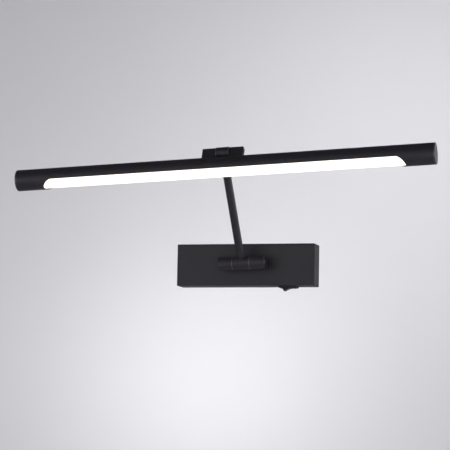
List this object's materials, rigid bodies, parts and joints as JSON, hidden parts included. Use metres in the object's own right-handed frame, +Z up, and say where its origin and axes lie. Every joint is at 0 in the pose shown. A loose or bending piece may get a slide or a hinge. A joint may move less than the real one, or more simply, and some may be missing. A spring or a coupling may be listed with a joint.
{
  "type": "picture light",
  "caption": "Wall-mounted picture light: slim tubular LED head on a double-hinged arm, with a rectangular wall box and a rocker switch beneath.",
  "frame": {"origin": "centre of the wall box's back face, in the wall's plane", "axes": "+Z up; the wall is the plane Y = 0 and the light stands out towards -Y; +X runs along the wall box, to the viewer's right"},
  "size_m": [0.4765, 0.1351, 0.152],
  "materials": {
    "black_powder_coat": "fine matte black powder coat",
    "black_screw": "black oxide",
    "galvanised_steel": "galvanised sheet",
    "zinc_steel": "zinc plated",
    "spring_steel": "dark spring steel",
    "turned_steel": "turned and ground",
    "friction_washer": "thin satin steel",
    "tinned_copper": "tinned",
    "bare_aluminium": "mill finish",
    "black_rubber": "soft matte",
    "grey_plastic": "light grey moulding",
    "white_plastic": "natural nylon moulding",
    "component_plastic": "wound and sleeved components",
    "circuit_board": "green solder mask",
    "white_board": "white solder mask",
    "led_phosphor": "yellow phosphor",
    "opal_plastic": "opal, lit",
    "black_switch_plastic": "satin black moulding",
    "nylon": "black nylon",
    "lead_sheath": "black sheath",
    "wire_insulation": "brown and blue PVC",
    "earth_insulation": "green with yellow stripe"
  },
  "bodies": {
    "wall_box": {"base_plate": "galvanised_steel", "front_cover": "black_powder_coat", "cover_screws": "black_screw", "cable_grommet": "black_rubber", "driver_case": "grey_plastic", "driver_lid": "grey_plastic", "driver_board": "circuit_board", "driver_components": "component_plastic", "driver_screws": "zinc_steel", "terminal_block": "white_plastic", "terminal_screws": "zinc_steel", "earth_screw": "zinc_steel", "earth_ring": "tinned_copper", "earth_wire": "earth_insulation", "mains_wires": "wire_insulation", "housing_lead": "lead_sheath", "switch_housing": "black_switch_plastic", "switch_terminals": "tinned_copper"},
    "rocker": {"switch_rocker": "black_switch_plastic"},
    "hinge_foot": {"hinge_yoke": "black_powder_coat", "foot_washer": "nylon", "stem_spring_washer": "spring_steel", "stem_nut": "zinc_steel", "lower_pivots": "turned_steel", "barrel_end_screws": "zinc_steel", "lower_hinge_washers": "friction_washer", "yoke_lead": "lead_sheath"},
    "arm": {"lower_barrel": "black_powder_coat", "arm_rod": "black_powder_coat", "upper_barrel": "black_powder_coat", "arm_lead": "lead_sheath"},
    "head": {"hinge_lug_right": "black_powder_coat", "hinge_lug_left": "black_powder_coat", "lug_fixing_screws": "zinc_steel", "upper_pivots": "turned_steel", "lug_end_screws": "black_screw", "upper_hinge_washers": "friction_washer", "lamp_tube": "black_powder_coat", "end_cap_right": "black_powder_coat", "end_cap_left": "black_powder_coat", "diffuser": "opal_plastic", "led_carrier": "bare_aluminium", "led_board": "white_board", "led_chips": "led_phosphor", "board_screws": "zinc_steel", "head_lead": "lead_sheath"}
  },
  "joints": [
    {"name": "switch_rock", "type": "hinge", "parent": "wall_box", "child": "rocker", "pos_m": [0.0485, -0.013, -0.0215], "axis": [0, 1, 0], "range_deg": [0, 28]},
    {"name": "foot_swivel", "type": "hinge", "parent": "wall_box", "child": "hinge_foot", "pos_m": [0, -0.0415, 0], "axis": [0, -1, 0], "range_deg": [-17.6, 12.4]},
    {"name": "arm_tilt", "type": "hinge", "parent": "hinge_foot", "child": "arm", "pos_m": [0, -0.0415, 0], "axis": [0.999, 0, 0.0454], "range_deg": [-32, 148]},
    {"name": "head_tilt", "type": "hinge", "parent": "arm", "child": "head", "pos_m": [-0.00524, -0.11367, 0.11539], "axis": [0.999, 0, 0.0454], "range_deg": [-241, 1.5]}
  ]
}
